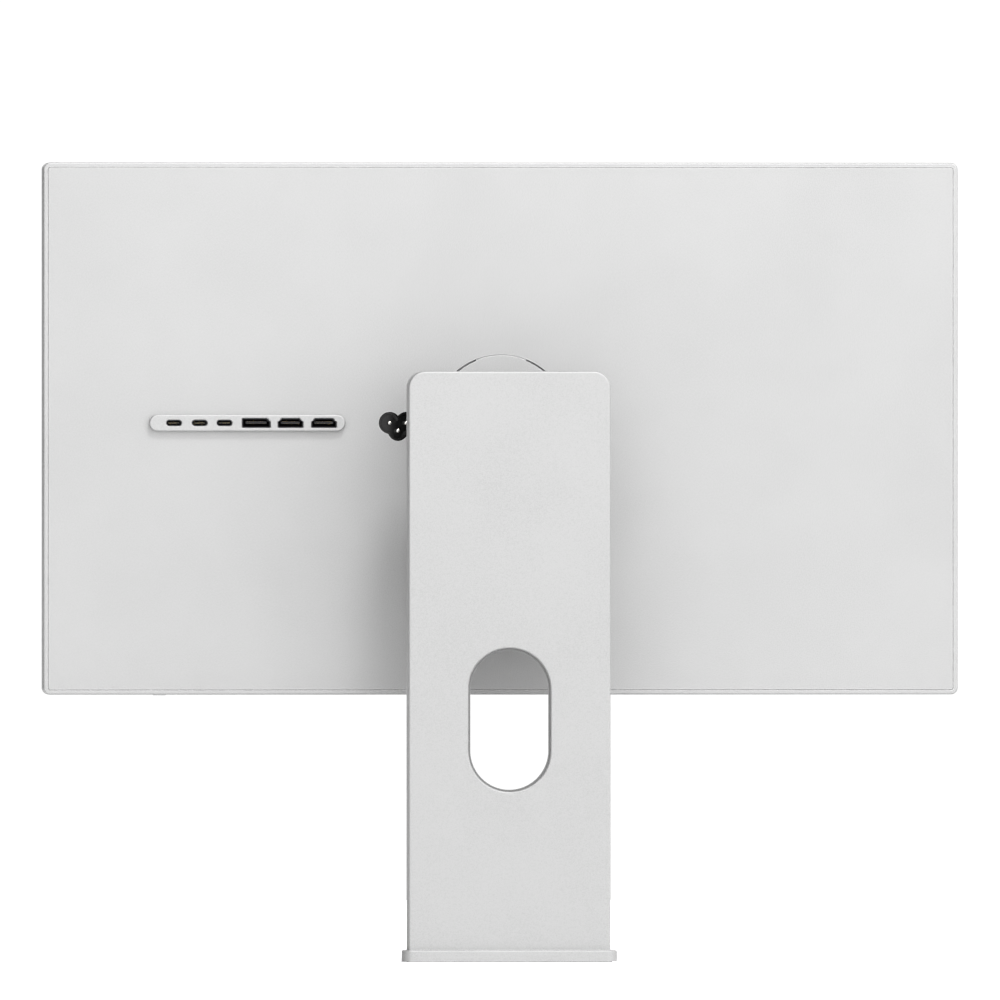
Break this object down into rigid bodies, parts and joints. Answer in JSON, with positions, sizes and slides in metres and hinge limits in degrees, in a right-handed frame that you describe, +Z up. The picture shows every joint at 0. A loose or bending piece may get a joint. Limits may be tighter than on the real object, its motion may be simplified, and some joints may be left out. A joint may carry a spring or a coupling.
{
  "type": "all in one desktop computer",
  "caption": "Flat aluminium screen with a computer inside, on a column stand that lifts, tilts and turns to portrait.",
  "frame": {"origin": "middle of the foot's underside, on the desk", "axes": "+Z up, the screen faces -Y and the sockets face +Y, +X is to the viewer's right from the front"},
  "size_m": [0.55, 0.196, 0.4787],
  "materials": {
    "housing_aluminium": "fine bead-blasted, clear anodised",
    "stand_aluminium": "fine bead-blasted, clear anodised",
    "disc_aluminium": "fine bead-blasted, clear anodised",
    "joint_aluminium": "satin anodised",
    "cast_metal": "as die cast",
    "dark_plastic": "fine matt mould texture",
    "rotor_plastic": "smooth matt",
    "inlet_plastic": "glossy black",
    "tongue_plastic": "smooth matt",
    "socket_shells": "black nickel plating",
    "socket_plating": "bright nickel plating",
    "steel": "zinc plated",
    "spring_steel": "rolled strip",
    "friction_plastic": "plain",
    "tray_steel": "zinc coated sheet",
    "pad_rubber": "matt",
    "circuit_board": "solder mask",
    "chip_plastic": "moulded",
    "drive_metal": "plain, no label",
    "heat_copper": "bare copper",
    "fin_aluminium": "mill finish",
    "lead_cover": "smooth",
    "guide_acrylic": "clear sheet with a dot pattern",
    "screen_cell": "dark when off",
    "black_mask": "printed mask",
    "screen_glass": "thin clear cover glass"
  },
  "bodies": {
    "stand": {"foot_plate": "stand_aluminium", "foot_pad": "pad_rubber", "foot_screws": "steel", "column_shell": "stand_aluminium", "column_front_cover": "stand_aluminium", "cable_hole_liner": "stand_aluminium", "column_foot_block": "cast_metal", "rail_top_bracket": "cast_metal", "guide_rails": "steel", "spring_tapes": "spring_steel"},
    "carriage": {"lift_carriage": "cast_metal", "carriage_bushes": "dark_plastic", "lift_arm": "joint_aluminium", "arm_screws": "steel"},
    "drum_left": {"spring_drum_left": "spring_steel"},
    "drum_right": {"spring_drum_right": "spring_steel"},
    "head": {"tilt_yoke": "joint_aluminium", "tilt_shaft": "steel", "tilt_friction_washers": "friction_plastic", "tilt_nuts": "steel", "tilt_end_caps": "joint_aluminium", "mount_disc": "disc_aluminium", "disc_screws": "steel", "pivot_spigot": "steel", "pivot_wave_washer": "spring_steel", "pivot_nut": "steel"},
    "display": {"perimeter_frame": "housing_aluminium", "rear_cover": "housing_aluminium", "hub_recess_ring": "dark_plastic", "hub_mount_plate": "cast_metal", "pivot_friction_washer": "friction_plastic", "port_strip": "housing_aluminium", "oval_sockets": "socket_shells", "oval_socket_tongues": "tongue_plastic", "stepped_video_sockets": "socket_shells", "notched_video_socket": "socket_shells", "video_socket_tongues": "tongue_plastic", "power_inlet": "inlet_plastic", "inlet_pins": "socket_plating", "mainboard": "circuit_board", "board_chips": "chip_plastic", "heat_pipe": "heat_copper", "heatsink_fins": "fin_aluminium", "fan_housings": "dark_plastic", "solid_state_drive": "drive_metal", "power_supply_board": "circuit_board", "power_supply_parts": "chip_plastic", "inlet_lead": "lead_cover", "speakers": "dark_plastic", "lcd_tray": "tray_steel", "light_guide": "guide_acrylic", "lcd_cell": "screen_cell", "bezel_mask": "black_mask", "front_glass": "screen_glass", "camera_module": "dark_plastic", "vent_grilles": "housing_aluminium", "button_switch": "dark_plastic"},
    "fan_left": {"fan_rotor_left": "rotor_plastic"},
    "fan_right": {"fan_rotor_right": "rotor_plastic"},
    "button": {"power_button": "housing_aluminium"}
  },
  "joints": [
    {"name": "lift", "type": "slide", "parent": "stand", "child": "carriage", "axis": [0, 0, 1], "range_m": [-0.102, 0.008], "deforming": ["spring_tapes"]},
    {"name": "drum_left_turn", "type": "hinge", "parent": "carriage", "child": "drum_left", "pos_m": [0.028, 0.0825, 0.3143], "axis": [0, -1, 0], "range_deg": [-620, 50]},
    {"name": "drum_right_turn", "type": "hinge", "parent": "carriage", "child": "drum_right", "pos_m": [-0.028, 0.0825, 0.3143], "axis": [0, 1, 0], "range_deg": [-620, 50]},
    {"name": "tilt", "type": "hinge", "parent": "carriage", "child": "head", "pos_m": [0, 0.036, 0.3223], "axis": [-1, 0, 0], "range_deg": [-5, 20]},
    {"name": "pivot", "type": "hinge", "parent": "head", "child": "display", "pos_m": [0, 0, 0.3223], "axis": [0, 1, 0], "range_deg": [0, 90]},
    {"name": "fan_left_spin", "type": "hinge", "parent": "display", "child": "fan_left", "pos_m": [0.035, -0.0025, 0.413], "axis": [0, 1, 0], "continuous": true},
    {"name": "fan_right_spin", "type": "hinge", "parent": "display", "child": "fan_right", "pos_m": [-0.035, -0.0025, 0.413], "axis": [0, 1, 0], "continuous": true},
    {"name": "power_button_press", "type": "slide", "parent": "display", "child": "button", "axis": [0, 0, 1], "range_m": [0, 0.0008], "stiffness_N_per_m": 1500, "springref_m": -0.0006}
  ],
  "couplings": [
    {"joint": "drum_left_turn", "follows": "lift", "rad_per_m": 105.26},
    {"joint": "drum_right_turn", "follows": "lift", "rad_per_m": 105.26}
  ]
}
